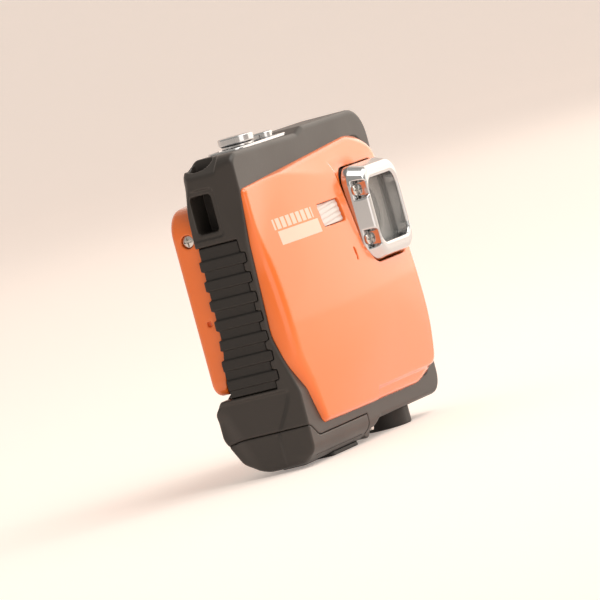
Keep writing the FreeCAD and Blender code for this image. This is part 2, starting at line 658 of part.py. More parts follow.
def build():
    """Every piece of the camera by node name."""
    parts = {
        "body_frame": body_frame(),
        "front_cover": front_cover(),
        "rear_cover": rear_cover(),
        "front_seal": front_seal(),
        "grip_pad": grip_pad(),
        "battery_door": battery_door(),
        "door_seal": door_seal(),
        "door_latch": door_latch(),
        "hinge_pin": rod("y", HINGE_X, HINGE_Z, PIN_R, *PIN_Y),
        "lens_bezel": lens_bezel(),
        "bezel_screws": bezel_screws(),
    }
    for group in (window_parts, lens_parts, flash_parts, battery_parts, foot_parts, top_controls,
                  rear_keys, electronics, fasteners):
        parts.update(group())
    return parts


def main():
    os.makedirs("parts", exist_ok=True)
    to_middle = FreeCAD.Vector(-(LEFT + RIGHT) / 2, 0, 0)
    for name, shape in build().items():
        shape.translate(to_middle)
        shape.exportStep(f"parts/{name}.step")


main()
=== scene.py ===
"""Looks of the rugged compact camera: every moulded piece is a distance field turned into a mesh."""

import json
import math

import bpy
import numpy as np
from mathutils import Matrix, Vector


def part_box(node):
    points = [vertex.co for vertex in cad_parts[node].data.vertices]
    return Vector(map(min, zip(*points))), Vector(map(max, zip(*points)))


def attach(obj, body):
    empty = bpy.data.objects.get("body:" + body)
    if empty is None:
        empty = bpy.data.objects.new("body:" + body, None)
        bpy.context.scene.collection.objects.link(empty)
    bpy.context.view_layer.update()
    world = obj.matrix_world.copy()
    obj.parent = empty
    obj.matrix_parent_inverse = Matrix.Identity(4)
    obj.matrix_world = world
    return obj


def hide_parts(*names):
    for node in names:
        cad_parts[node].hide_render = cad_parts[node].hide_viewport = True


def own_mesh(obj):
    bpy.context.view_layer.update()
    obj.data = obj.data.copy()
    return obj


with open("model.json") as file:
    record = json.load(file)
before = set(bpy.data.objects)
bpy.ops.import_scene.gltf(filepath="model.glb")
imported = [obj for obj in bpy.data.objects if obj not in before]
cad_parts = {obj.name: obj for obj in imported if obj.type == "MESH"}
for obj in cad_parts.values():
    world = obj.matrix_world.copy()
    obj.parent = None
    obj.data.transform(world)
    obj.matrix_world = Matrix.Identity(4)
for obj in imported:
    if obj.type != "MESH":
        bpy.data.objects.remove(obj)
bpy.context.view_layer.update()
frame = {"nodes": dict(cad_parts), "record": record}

MM = 0.001
DRAWN_MIDDLE = 2.6  # the fields are drawn this far to the left of the frame
FINE = 1.0
ARC_STEPS = 8
COIL_STEPS = 24
WIRE_SIDES = 10


def mm_box(node):
    """Lowest and highest corner of a CAD node, in the fields' millimetres."""
    shift = np.array([DRAWN_MIDDLE, 0.0, 0.0])
    return [np.array(corner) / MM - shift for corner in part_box(node)]


def mm_middle(node):
    """Middle of a CAD node, in the fields' millimetres, to a hundredth."""
    low, high = mm_box(node)
    return [round(float(value), 2) for value in (low + high) / 2]


# Places taken from the frame, in millimetres
LENS_X, _, LENS_Z = mm_middle("lens_bezel")
SHUTTER_X, TOP_CONTROL_Y, _ = mm_middle("shutter_button")
POWER_X = mm_middle("power_button")[0]
ZOOM_X, _, ZOOM_Z = mm_middle("zoom_rocker")
LAMP_X, _, LAMP_Z = mm_middle("status_led")
BUSH_X = mm_middle("tripod_bush")[0]
PIN_X, _, PIN_Z = mm_middle("hinge_pin")
HINGE = (PIN_X, PIN_Z)

# Case
LEFT = -41.0
RIGHT = 35.8
HALF_DEPTH = 14.2
BOTTOM = 0.4
RIGHT_BOTTOM = 4.0
TOP = 70.3
HUMP_TOP = 71.0
WALL = 1.8
SEAM = 0.08
CASE_EDGE = 1.1
LUG_EDGE = 2.6
FACET_SLOPE = 0.17
CAVITY = (-38.6, 33.8, 7.6, 68.2)
CAVITY_Y = (-3.5, 6.0)
STEP_VIEW = (0.1, 7.6, 53.2, 64.0)
STEP_X = -40.55
LUG_START_Z = 58.0
LUG_END_X = -30.0
FACET_Y = -4.2
FACET_RISE = 3.4
FACET_START_Z = 47.0
CHAMFER_X = -36.4
CHAMFER = (0.62, 0.78)
BULGE_TOP = 17.5
CREASE_Y = -5.2
CREASE_RISE = 4.6
HOLLOW = 0.75
GRIP_Z = (18.3, 51.7)
GRIP_BACK_X = -36.5
RIB_PITCH = 4.4
FIRST_RIB_Z = 19.9
RIB_DEPTH = 0.62
PAD_DEPTH = 1.5

# Strap slot
SLOT_Y = (1.2, 6.2)
SLOT_Z = (54.5, 62.8)
SLOT_END_X = -33.2
SLOT_TOP_X = -38.2
BOWL_MIDDLE = (-36.8, 3.6, 70.2)
BOWL_HALF = (3.3, 3.6, 3.4)

# Battery door; flat openings are given as x0, x1, y0, y1
KNUCKLE_R = 2.3
KNUCKLE_Y = (-4.5, 6.5)
KNUCKLE_SPACE_Y = (-4.8, 6.8)
PIN_HOLE_R = 0.84
DOOR_HOLLOW = (-37.2, -10.2, -5.4, 7.4)
DOOR_FLOOR = 2.2
LATCH_RECESS = (-38.0, -27.4, -3.0, 3.0)
LATCH_SLOT = (-35.7, -30.1, -1.1, 1.1)
LATCH_PAD = (-37.85, -30.85, -2.85, 2.85)
LATCH_STEM = (-35.5, -33.3, -0.9, 0.9)
LATCH_FOOT = (-36.2, -32.6, -1.7, 1.7)
STRIP_RECESS = (-25.1, -9.9, -4.1, 4.1)
STRIP = (-25.0, -10.0, -4.0, 4.0)
STRIP_HEIGHT = 0.9
CELL_PORT = (-37.2, -15.3, -5.6, 5.2)
CARD_PORT = (-13.8, -12.4, -5.5, 6.0)
USB_PORT = (-11.6, -8.9, -4.2, 4.2)

# Front cover
FACE_Y = -12.2
CROWN_MIDDLE_X = 11.0
CROWN = 0.0015
CHIN_Z = 30.0
CHIN = 0.006
LEAN_Z = 37.5
LEAN = 0.135
BRIM_Y = -6.7
BAND_DROP = 3.0
BORDER_X = 29.6
BORDER_Z = 10.8
BORDER_START_X = -4.5
SUNK = 0.75
BEZEL_BASE = 11.1
BEZEL_OPENING = (6.1, 28.5, 37.0, 59.4)
SLIT_MIDDLE = (-4.3, 40.6)
SLIT_R = 3.7
SLIT_HALF = 0.26
FLASH_SUNK = 0.45
FLASH_RIB_BASE = 0.75
FLASH_RIB = 0.16
FLASH_RIB_PITCH = 1.1
FLASH_BACK_Y = -8.2

# Lens bezel and window
BEZEL_RIM = (9.5, 10.0)
BEZEL_FOOT = (11.1, 11.1)
BEZEL_CORNER = 4.2
BEZEL_TAPER = 3.7
BEZEL_BACK_Y = -8.6
WINDOW_HALF = (8.1, 7.2)
REBATE_HALF = (9.0, 8.3)
PANE_HALF = (8.9, 8.2)
MASK_Y = (-9.7, -9.0)
MASK_HOLE_R = 6.2
MASK_FLARE = 0.4
LENS_R = 6.15
LENS_Y = (-8.4, -6.4)
LENS_CROWN = 0.023
GLASS_Y = -11.2
SCREW_X, SCREW_Z = 10.1, 5.6
POCKET_X = 10.3
POCKET_R = 2.05

# Rear cover
REAR_FACE_Y = 13.6
REAR_START_Y = 7.2
BOSS_R = 1.7
BOSS_Y = (8.6, 12.6)
LAMP_HOLE_R = 0.8
SIDE_SEAT_R = 1.5
NOTCH_VIEW = (9.4, 10.4, 34.6, 35.8)
NOTCH_X = -38.4
DISPLAY_BORDER = 1.9
KEY_FLANGE = 0.35
ZOOM_OPENING = (-32.0, -20.0, 51.1, 55.7)
ROCKER_HALF = (5.75, 2.05)
ROCKER_BACK_Y = 11.0
ROCKER_DISH_Y = 13.7
MARK_HALF = 0.13
FULCRUM_Y = 10.9
CASE_SCREWS = ((-36.2, 22.4), (31.0, 22.2), (29.6, 60.9), (-14.6, 59.8), (-36.0, 56.0))
SCREW_SEAT_Y = 12.5
SIDE_SCREW_Y, SIDE_SCREW_Z = 9.9, 53.7
SIDE_SCREW_SEATS = ((-1, -38.0), (1, 32.4))
HEAD_R = 1.25
SIDE_HEAD_R = 1.4

# Top controls
PLATE = (-30.0, -1.6, -3.9, 5.1)
PLATE_SUNK = (-29.0, -2.6, -2.9, 4.1)
PLATE_RECESS = (-30.1, -1.5, -4.0, 5.2)
PLATE_Z = (69.7, 70.6)
PLATE_SUNK_Z = 70.4
STEM_BOTTOM = 65.8
COLLAR_Z = (67.3, 68.1)
SHUTTER_R = 4.0
SHUTTER_CAP_Z = 71.2
SHUTTER_DISH_Z = 72.6
SHUTTER_DISH = 0.4
SHUTTER_DISH_R = 3.4
SHUTTER_SKIRT_R = 3.5
SHUTTER_SKIRT_Z = (70.5, 71.6)
SHUTTER_STEM_R = 1.5
SHUTTER_COLLAR_R = 2.4
SHUTTER_WELL = (4.3, 69.2)
POWER_R = 2.3
POWER_Z = (70.2, 71.9)
POWER_DIMPLE_Z = 73.0
POWER_DIMPLE_R = 1.5
POWER_STEM_R = 1.0
POWER_COLLAR_R = 1.8
POWER_WELL = (2.5, 69.3)
BUTTON_GAP = 0.15

# Foot and tripod bush
FOOT_HALF = (5.6, 5.2)
FOOT_HEIGHT = 4.0
BUSH_R = 4.2
THREAD_R = 2.6
THREAD_PITCH = 1.27

# Outlines in millimetres, anticlockwise: (across, up, corner radius)
CASE_FRONT = [
    (LEFT, BOTTOM, 3.0), (-7.0, BOTTOM, 3.0), (-1.5, RIGHT_BOTTOM, 3.0), (RIGHT, RIGHT_BOTTOM, 4.5),
    (RIGHT, HUMP_TOP, 7.0), (1.0, HUMP_TOP, 3.0), (-3.0, 69.8, 3.0), (LEFT, TOP, 4.0),
]
CASE_SIDE = [
    (-3.4, BOTTOM, 3.5), (5.0, BOTTOM, 3.0), (11.0, 3.6, 3.5), (HALF_DEPTH, 9.8, 3.0),
    (HALF_DEPTH, 15.5, 2.5), (10.9, 19.2, 3.0), (8.4, 30.0, 10.0), (8.0, 52.0, 20.0), (7.1, 74.0, 0.0),
    (-5.9, 74.0, 0.0), (-5.8, 62.0, 8.0), (-4.7, 50.0, 20.0), (-3.9, 29.5, 12.0), (-7.3, 16.5, 5.0),
    (-7.1, 3.4, 3.0),
]
COVER_FRONT = [
    (-32.4, 8.1, 2.2), (33.0, 7.8, 5.5), (33.4, 66.6, 7.0), (-39.8, 62.1, 1.6), (-39.8, 22.5, 9.0),
]
REAR_FRONT = [(-39.2, 19.2, 3.0), (33.6, 19.2, 4.0), (33.6, 64.6, 8.0), (-39.2, 60.5, 6.0)]
DOOR_FRONT = [
    (-44.0, -2.0, 0.0), (-8.6, -2.0, 0.0), (-8.6, 6.1, 0.0), (-36.0, 6.1, 3.0), (-39.6, 9.0, 3.0),
    (-44.0, 9.0, 0.0),
]

# Materials: linear colours, grain depth and size in millimetres
FINISHES = {
    "black_case": dict(colour=(0.035, 0.029, 0.025), roughness=0.38, grain=0.012, grain_size=0.35),
    "orange_gloss": dict(colour=(0.90, 0.175, 0.016), roughness=0.24, grain=0.001, grain_size=1.5,
                         vary=0.02, rough_vary=0.04, coat=0.7),
    "grip_rubber": dict(colour=(0.017, 0.014, 0.012), roughness=0.55, grain=0.02, grain_size=0.3),
    "seal_rubber": dict(colour=(0.02, 0.02, 0.02), roughness=0.6, grain=0.01),
    "chrome_trim": dict(colour=(0.60, 0.605, 0.615), roughness=0.13, metallic=1.0, vary=0.02,
                        rough_vary=0.04),
    "screw_steel": dict(colour=(0.62, 0.60, 0.57), roughness=0.25, metallic=1.0, grain=0.004),
    "spring_steel": dict(colour=(0.55, 0.55, 0.56), roughness=0.3, metallic=1.0),
    "bush_brass": dict(colour=(0.62, 0.45, 0.2), roughness=0.3, metallic=1.0, grain=0.004),
    "clear_window": dict(colour=(0.80, 0.80, 0.78), roughness=0.22, alpha=0.15, rough_vary=0.01),
    "lens_glass": dict(colour=(0.42, 0.41, 0.39), roughness=0.5, coat=0.1, rough_vary=0.03),
    "inner_plastic": dict(colour=(0.03, 0.03, 0.032), roughness=0.5, grain=0.01),
    "circuit_board": dict(colour=(0.015, 0.12, 0.04), roughness=0.4, grain=0.01),
    "contact_metal": dict(colour=(0.7, 0.64, 0.5), roughness=0.3, metallic=1.0),
    "cell_wrap": dict(colour=(0.1, 0.11, 0.13), roughness=0.3, coat=0.3),
    "display_glass": dict(colour=(0.012, 0.013, 0.016), roughness=0.06, coat=0.5, rough_vary=0.02),
    "key_plastic": dict(colour=(0.06, 0.056, 0.052), roughness=0.38, grain=0.01),
    "lamp_lens": dict(colour=(0.25, 0.5, 0.22), roughness=0.2, coat=0.5),
    "flash_lens": dict(colour=(0.62, 0.56, 0.53), roughness=0.14, coat=0.6, rough_vary=0.03),
}

# Printed marks on the front: a row of dashes over a block, in drawn millimetres (x, z, half sizes)
PRINT_DASHES = dict(middle=(-22.6, 52.4), half=(9.0, 1.2), pitch=2.3)
PRINT_BLOCK = dict(middle=(-21.5, 49.2), half=(9.2, 1.55))
PRINT_COLOUR = (0.95, 0.62, 0.50, 1.0)

# Stage and camera, in metres and degrees
LOOK_HEIGHT = 0.036
FLOOR_START = -3.0
BACKDROP_START = 2.2
BACKDROP_R = 0.8
BACKDROP_TOP = 5.0
FLOOR_HALF_WIDTH = 5.0
VIEW_AZIMUTH = -66.0
VIEW_ELEVATION = 2.8
VIEW_ROLL = -15.2
VIEW_DISTANCE = 1.5
SENSOR = 36.0
FOCAL_LENGTH = 405.9
FRAME_SHIFT = (-0.0209167, -0.0245667)
LOOK_Y = 0.0013
WORLD_COLOUR = (1.0, 0.95, 0.87, 1.0)
WORLD_STRENGTH = 0.48


# Distance fields: every function takes coordinate arrays in millimetres and is negative inside


def arc_outline(corners):
    """Points of an outline whose corners are rounded by arcs."""
    points = []
    count = len(corners)
    for index, (a, b, radius) in enumerate(corners):
        here = np.array([a, b])
        back = np.array(corners[index - 1][:2]) - here
        ahead = np.array(corners[(index + 1) % count][:2]) - here
        back = back / np.hypot(*back)
        ahead = ahead / np.hypot(*ahead)
        if radius == 0:
            points.append(here)
            continue
        half = math.acos(float(np.clip(back @ ahead, -1, 1))) / 2
        bisector = (back + ahead) / np.hypot(*(back + ahead))
        centre = here + bisector * radius / math.sin(half)
        start = here + back * radius / math.tan(half) - centre
        end = here + ahead * radius / math.tan(half) - centre
        sweep = math.atan2(start[0] * end[1] - start[1] * end[0], start @ end)
        for step in range(ARC_STEPS + 1):
            turn = sweep * step / ARC_STEPS
            c, s = math.cos(turn), math.sin(turn)
            points.append(centre + np.array([c * start[0] - s * start[1], s * start[0] + c * start[1]]))
    return points


def polygon(a, b, points):
    """Distance from a closed outline in a plane."""
    best = 1e9
    inside = False
    for first, last in zip(points, points[1:] + points[:1]):
        run_a, run_b = last - first
        from_a, from_b = a - first[0], b - first[1]
        along = np.clip((from_a * run_a + from_b * run_b) / (run_a ** 2 + run_b ** 2 + 1e-12), 0, 1)
        best = np.minimum(best, (from_a - run_a * along) ** 2 + (from_b - run_b * along) ** 2)
        if abs(run_b) > 1e-9:
            spans = (first[1] <= b) != (last[1] <= b)
            inside = inside ^ (spans & (a < first[0] + (b - first[1]) * run_a / run_b))
    return np.where(inside, -1.0, 1.0) * np.sqrt(best)


class Outline:
    """Distance from a rounded outline, looked up in a table that is worked out once."""

    CELL = 0.2
    MARGIN = 9.0

    def __init__(self, corners):
        points = arc_outline(corners)
        self.low = np.min(points, 0) - self.MARGIN
        across, up = (np.arange(low, high, self.CELL)
                      for low, high in zip(self.low, np.max(points, 0) + self.MARGIN))
        self.table = polygon(across[:, None], up[None, :], points)

    def __call__(self, a, b):
        u = np.clip((a - self.low[0]) / self.CELL, 0, self.table.shape[0] - 1.001)
        v = np.clip((b - self.low[1]) / self.CELL, 0, self.table.shape[1] - 1.001)
        i, j = u.astype(int), v.astype(int)
        u, v = u - i, v - j
        near = self.table[i, j] * (1 - u) + self.table[i + 1, j] * u
        far = self.table[i, j + 1] * (1 - u) + self.table[i + 1, j + 1] * u
        return near * (1 - v) + far * v


def rect(a, b, a0, a1, b0, b1, radius=0.0):
    """Distance from a rounded rectangle in a plane."""
    over_a = np.abs(a - (a0 + a1) / 2) - (a1 - a0) / 2 + radius
    over_b = np.abs(b - (b0 + b1) / 2) - (b1 - b0) / 2 + radius
    outside = np.hypot(np.maximum(over_a, 0), np.maximum(over_b, 0))
    return outside + np.minimum(np.maximum(over_a, over_b), 0) - radius


def span(v, low, high):
    """Distance from the slab between two limits."""
    return np.abs(v - (low + high) / 2) - (high - low) / 2


def both(first, second, radius=0.0):
    """Intersection of two fields, its edge rounded."""
    outside = np.hypot(np.maximum(first + radius, 0), np.maximum(second + radius, 0))
    return np.minimum(np.maximum(first, second), -radius) + outside


def either(first, second, radius=0.0):
    """Union of two fields, its inner corner filled."""
    return -both(-first, -second, radius)


def less(first, second, radius=0.0):
    """First field without the second, the cut's edge rounded."""
    return both(first, -second, radius)


def disc(a, b, centre_a, centre_b, radius):
    """Distance from a circle in a plane."""
    return np.hypot(a - centre_a, b - centre_b) - radius


def smooth(v):
    """Step from 0 to 1 with soft ends."""
    v = np.clip(v, 0, 1)
    return v * v * (3 - 2 * v)


def soft_ramp(v, softness):
    """Zero below 0 and rising as v above it, with a soft start."""
    return softness * np.logaddexp(0, v / softness)


case_outline = Outline(CASE_FRONT)
case_profile = Outline(CASE_SIDE)
cover_outline = Outline(COVER_FRONT)
rear_outline = Outline(REAR_FRONT)
door_outline = Outline(DOOR_FRONT)


def case_form(x, y, z):
    """Whole black case with its door as one body."""
    front = case_outline(x, z)
    side = case_profile(y, z)
    lug_round = smooth((z - LUG_START_Z) / 8.0) * smooth((y - 1.0) / 4.0) * smooth((LUG_END_X - x) / 6.0)
    form = both(front, side, CASE_EDGE + LUG_EDGE * lug_round)
    facet_end = FACET_Y + FACET_RISE * smooth((z - FACET_START_Z) / 13.0)
    form = both(form, (FACET_SLOPE * (facet_end - y) - (x - LEFT)) * 0.98, 0.25)
    slope = CHAMFER[0] * (CHAMFER_X - x) + CHAMFER[1] * (z - TOP)
    form = both(form, np.where(y > -1.2, slope, slope + 1.6 * (y + 1.2)), 0.4)
    crease = CREASE_Y + CREASE_RISE * smooth((BULGE_TOP - z) / 11.0)
    hollow = HOLLOW * smooth((y - crease) / 1.6) * smooth((17.9 - z) / 0.9)
    hollow = hollow + 1.2 * smooth((y - 9.0 + 0.35 * (12.0 - z)) / 5.0) * smooth((BULGE_TOP - z) / 4.0)
    return both(form, hollow - (x - LEFT), 0.7)


def rib_wave(z):
    """1 on the raised bars of the grip and 0 between them."""
    phase = np.mod(z - FIRST_RIB_Z, RIB_PITCH) / RIB_PITCH
    rise = smooth(phase / 0.09) * smooth((0.62 - phase) / 0.09)
    return rise * (z > 19.5) * (z < 50.0)


def grip_region(x, y, z, grow):
    """Where the grip wraps the left side and its rear edge."""
    front_end = -2.3 - 1.1 * rib_wave(z)
    return np.maximum(np.maximum(span(z, *GRIP_Z), front_end - y), x - GRIP_BACK_X) - grow


def grip_field(x, y, z):
    """Ribbed rubber pad over the case's side."""
    skin = case_form(x, y, z)
    ribs = skin + RIB_DEPTH * (1 - rib_wave(z))
    return both(both(ribs, grip_region(x, y, z, -SEAM), 0.35), -(skin + PAD_DEPTH))


def slot_field(x, y, z):
    """Passage for a strap, in at the side and out at the top."""
    across = np.maximum(rect(y, z, *SLOT_Y, *SLOT_Z, 0.8), x - SLOT_END_X)
    upward = np.maximum(rect(x, y, SLOT_TOP_X, SLOT_END_X, *SLOT_Y, 0.8), SLOT_Z[0] - z)
    return np.minimum(across, upward)


def case_field(x, y, z):
    """Black case without its door, hollow, with its slots and lugs."""
    form = case_form(x, y, z)
    cover = cover_outline(x, z) - SEAM
    side = case_profile(y, z)
    cavity = both(rect(x, z, *CAVITY, 2.0), span(y, *CAVITY_Y), 0.5)
    lug = both(rect(x, z, -42.0, -31.0, 52.8, 72.0, 0.5), span(y, -7.0, 9.0), 0.5)
    mouth = np.maximum(cover + 2.0, y)
    inner = less(np.minimum(cavity, mouth), lug)
    recess = np.maximum(cover, side + 0.8)
    recess = np.maximum(recess, y)
    form = less(form, recess, 0.25)
    form = less(form, inner)
    rear = np.maximum(rear_outline(x, z) - SEAM, 7.0 - y)
    form = less(form, rear, 0.4)
    form = less(form, both(grip_region(x, y, z, 0.05), -(case_form(x, y, z) + 1.6)), 0.25)
    frame_step = both(rect(y, z, *STEP_VIEW, 1.2), x - STEP_X)
    form = less(form, frame_step, 0.3)
    form = less(form, slot_field(x, y, z), 0.45)
    bowl = np.sqrt(sum(((place - middle) / half) ** 2
                       for place, middle, half in zip((x, y, z), BOWL_MIDDLE, BOWL_HALF))) - 1
    form = less(form, BOWL_HALF[0] * bowl, 0.3)
    form = less(form, door_outline(x, z) - SEAM, 0.3)
    swing = np.maximum(rect(x, z, -9.6, HINGE[0], -2.0, HINGE[1]), -disc(x, z, *HINGE, 2.7))
    knuckle = np.maximum(np.minimum(disc(x, z, *HINGE, 2.6), rect(x, z, -9.6, -3.5, -1.0, 4.8)),
                         span(y, *KNUCKLE_SPACE_Y))
    form = less(form, np.minimum(swing, knuckle), 0.25)
    ports = np.minimum(rect(x, y, *CELL_PORT, 1.0), rect(x, y, *CARD_PORT, 0.3))
    ports = np.minimum(ports, rect(x, y, *USB_PORT, 0.5))
    form = less(form, np.maximum(ports, span(z, 4.0, 9.9)), 0.2)
    plate = np.maximum(rect(x, y, *PLATE_RECESS, 3.6), PLATE_Z[0] - z)
    form = less(form, plate, 0.2)
    buttons = np.minimum(
        np.maximum(disc(x, y, SHUTTER_X, TOP_CONTROL_Y, SHUTTER_WELL[0]), SHUTTER_WELL[1] - z),
        np.maximum(disc(x, y, POWER_X, TOP_CONTROL_Y, POWER_WELL[0]), POWER_WELL[1] - z))
    form = less(form, buttons)
    bush = np.maximum(disc(x, y, BUSH_X, 0.0, BUSH_R), z - 8.5)
    return less(form, bush)


def door_field(x, y, z):
    """Battery door: hollow, with its knuckle and the recess of its latch."""
    form = both(case_form(x, y, z), door_outline(x, z), 0.3)
    form = less(form, np.maximum(rect(x, y, *DOOR_HOLLOW, 1.0), DOOR_FLOOR - z), 0.2)
    knuckle = both(np.minimum(disc(x, z, *HINGE, KNUCKLE_R), rect(x, z, -9.1, HINGE[0], 1.3, 4.5)),
                   span(y, *KNUCKLE_Y), 0.3)
    form = either(form, knuckle)
    latch = both(rect(x, y, *LATCH_RECESS, 0.6), z - 1.45, 0.2)
    stem = np.maximum(rect(x, y, *LATCH_SLOT), z - 3.0)
    strip = np.maximum(rect(x, y, *STRIP_RECESS, 1.1), z - STRIP_HEIGHT)
    form = less(form, np.minimum(latch, stem), 0.2)
    return less(less(form, strip), disc(x, z, *HINGE, PIN_HOLE_R))


def cover_seam_z(x):
    """Height of the cover's top seam."""
    return 62.1 + (x + 39.8) * 4.5 / 78.0


def cover_face(x, z):
    """Where the front cover's face lies: crowned, leaning back above and below, with sunk borders."""
    crown = np.hypot(CROWN * (x - CROWN_MIDDLE_X) ** 2, CHIN * np.maximum(CHIN_Z - z, 0) ** 2)
    face = FACE_Y + crown + LEAN * soft_ramp(z - LEAN_Z, 5.0)
    face = BRIM_Y - soft_ramp(BRIM_Y - face, 0.3)
    depth = np.maximum(cover_seam_z(x) - z, -2)
    crease = 0.8 + 5.6 * smooth((x - LEFT) / 44) + 1.2 * smooth((x - 2) / 12)
    band = BRIM_Y - BAND_DROP * depth / crease
    face = face + soft_ramp(band - face, 0.12)
    border = np.where(x > BORDER_START_X, np.maximum(x - BORDER_X, BORDER_Z - z), x - BORDER_X)
    face = face + SUNK * smooth(border + 0.5) * smooth((38.0 - z) / 6)
    away = np.maximum(np.abs(x - LENS_X), np.abs(z - LENS_Z)) - BEZEL_BASE
    channel = smooth(1 - away / 2.6) * smooth((LENS_X - x) / 6) * smooth((z - 38.5) / 5)
    return face + SUNK * channel


def cover_field(x, y, z):
    """Orange front shell."""
    outline = cover_outline(x, z)
    edge = 1.3 + 2.1 * smooth((-20 - x) / 10) * smooth((z - 8) / 16) * smooth((56 - z) / 14)
    edge = edge + 3.6 * smooth((x - 20) / 10)
    face = cover_face(x, z)
    form = both(outline, (face - y) * 0.97, edge)
    form = less(form, case_profile(y, z) + 0.8)
    form = less(form, both(outline, face - y, edge) + WALL)
    form = less(form, rect(x, z, *BEZEL_OPENING, 4.6), 0.25)
    low, high = mm_box("flash_window")
    form = less(form, rect(x, z, low[0] - 0.1, high[0] + 0.1, low[2] - 0.1, high[2] + 0.1, 0.7), 0.2)
    slit = np.abs(disc(x, z, *SLIT_MIDDLE, SLIT_R)) - SLIT_HALF
    return less(form, np.maximum(np.maximum(slit, span(z, 39.2, 42.0)), -x - 2.0), 0.1)


def rear_field(x, y, z):
    """Orange rear shell with its display opening and key holes."""
    outline = rear_outline(x, z)
    form = both(outline, y - REAR_FACE_Y, 1.5)
    form = less(form, case_profile(y, z) + 0.5)
    form = np.maximum(form, REAR_START_Y - y)
    form = less(form, np.maximum(outline + WALL, y - REAR_FACE_Y + WALL))
    low, high = mm_box("lcd_window")
    opening = rect(x, z, low[0] + DISPLAY_BORDER, high[0] - DISPLAY_BORDER,
                   low[2] + DISPLAY_BORDER, high[2] - DISPLAY_BORDER, 1.0)
    rebate = rect(x, z, low[0] - 0.1, high[0] + 0.1, low[2] - 0.1, high[2] + 0.1, 2.0)
    form = less(form, opening)
    form = less(form, np.maximum(rebate, low[1] - y), 0.3)
    for name in KEYS:
        low, high = mm_box(name)
        radius = (high[0] - low[0]) / 2 - KEY_FLANGE + 0.15
        form = less(form, disc(x, z, (low[0] + high[0]) / 2, (low[2] + high[2]) / 2, radius), 0.35)
    form = less(form, rect(x, z, *ZOOM_OPENING, 2.0), 0.35)
    form = less(form, disc(x, z, LAMP_X, LAMP_Z, LAMP_HOLE_R), 0.2)
    for cx, cz in CASE_SCREWS:
        form = either(form, np.maximum(disc(x, z, cx, cz, BOSS_R), span(y, *BOSS_Y)))
        form = less(form, np.maximum(disc(x, z, cx, cz, HEAD_R + 0.1), SCREW_SEAT_Y - y), 0.25)
    seats = np.minimum(x - SIDE_SCREW_SEATS[0][1], SIDE_SCREW_SEATS[1][1] - x)
    flank = np.maximum(disc(y, z, SIDE_SCREW_Y, SIDE_SCREW_Z, SIDE_SEAT_R), seats)
    form = less(form, flank, 0.2)
    notch = np.maximum(rect(y, z, *NOTCH_VIEW, 0.2), x - NOTCH_X)
    return less(form, notch, 0.15)


def lens_rect(x, z, half, radius):
    """Distance from a rounded rectangle centred on the lens."""
    return rect(x, z, LENS_X - half[0], LENS_X + half[0], LENS_Z - half[1], LENS_Z + half[1], radius)


def bezel_field(x, y, z):
    """Chrome lens surround."""
    taper = np.clip((y + HALF_DEPTH) / BEZEL_TAPER, 0, 1)
    half_x, half_z = (rim + (foot - rim) * taper for rim, foot in zip(BEZEL_RIM, BEZEL_FOOT))
    outer = rect(np.abs(x - LENS_X), np.abs(z - LENS_Z), -half_x, half_x, -half_z, half_z, BEZEL_CORNER)
    form = both(outer, span(y, -HALF_DEPTH, BEZEL_BACK_Y), 0.85)
    form = less(form, lens_rect(x, z, WINDOW_HALF, 2.6), 0.7)
    form = less(form, np.maximum(lens_rect(x, z, REBATE_HALF, 2.0), GLASS_Y - y))
    across = np.abs(x - LENS_X)
    up = np.abs(z - LENS_Z)
    pocket = np.maximum(disc(across, up, POCKET_X, SCREW_Z, POCKET_R), PANE_HALF[0] - across)
    pocket = np.maximum(pocket, y - GLASS_Y)
    return less(form, pocket, 0.35)


def flash_field(x, y, z):
    """Ribbed flash window."""
    low, high = mm_box("flash_window")
    lens = both(rect(x, z, low[0], high[0], low[2], high[2], 0.6), cover_face(x, z) + FLASH_SUNK - y, 0.3)
    ribs = FLASH_RIB * np.abs(np.sin((z - 0.1 * x) * math.pi / FLASH_RIB_PITCH))
    return np.maximum(np.maximum(lens, cover_face(x, z) + FLASH_RIB_BASE - ribs - y), y - FLASH_BACK_Y)


def arrow(turns):
    """Field of a small arrowhead turned by quarter turns."""
    c, s = math.cos(turns * math.pi / 2), math.sin(turns * math.pi / 2)

    def field(a, b):
        u, v = a * c + b * s, b * c - a * s
        return np.maximum(-v - 0.45, 0.86 * np.abs(u) + 0.5 * v - 0.42)
    return field


def three_bars(a, b):
    """Field of three short bars, one above another."""
    return rect(a, np.abs(np.abs(b) - 0.35) - 0.35, -0.85, 0.85, -MARK_HALF, MARK_HALF)


def ring(a, b):
    """Field of a thin ring."""
    return np.abs(np.hypot(a, b) - 1.15) - MARK_HALF


def small_square(a, b):
    """Field of a small square's outline."""
    return np.abs(rect(a, b, -0.65, 0.65, -0.65, 0.65, 0.2)) - 0.12


KEYS = {"key_play": arrow(3), "key_menu": three_bars, "key_up": arrow(0), "key_down": arrow(2),
        "key_left": arrow(1), "key_right": arrow(3), "key_ok": ring, "key_delete": small_square}


def key_field(node):
    """Crowned key cap with its flange and its engraved mark."""
    low, high = mm_box(node)
    middle_x, middle_z = (low[0] + high[0]) / 2, (low[2] + high[2]) / 2
    radius = (high[0] - low[0]) / 2 - KEY_FLANGE

    def field(x, y, z):
        across = np.hypot(x - middle_x, z - middle_z)
        top = high[1] - 0.25 * (across / radius) ** 2
        cap = both(across - radius, np.maximum(y - top, low[1] - y), 0.35)
        flange = both(across - radius - KEY_FLANGE, span(y, 10.4, 11.0), 0.1)
        mark = np.maximum(KEYS[node](x - middle_x, z - middle_z), high[1] - 0.45 - y)
        return less(np.minimum(cap, flange), mark, 0.06)
    return field


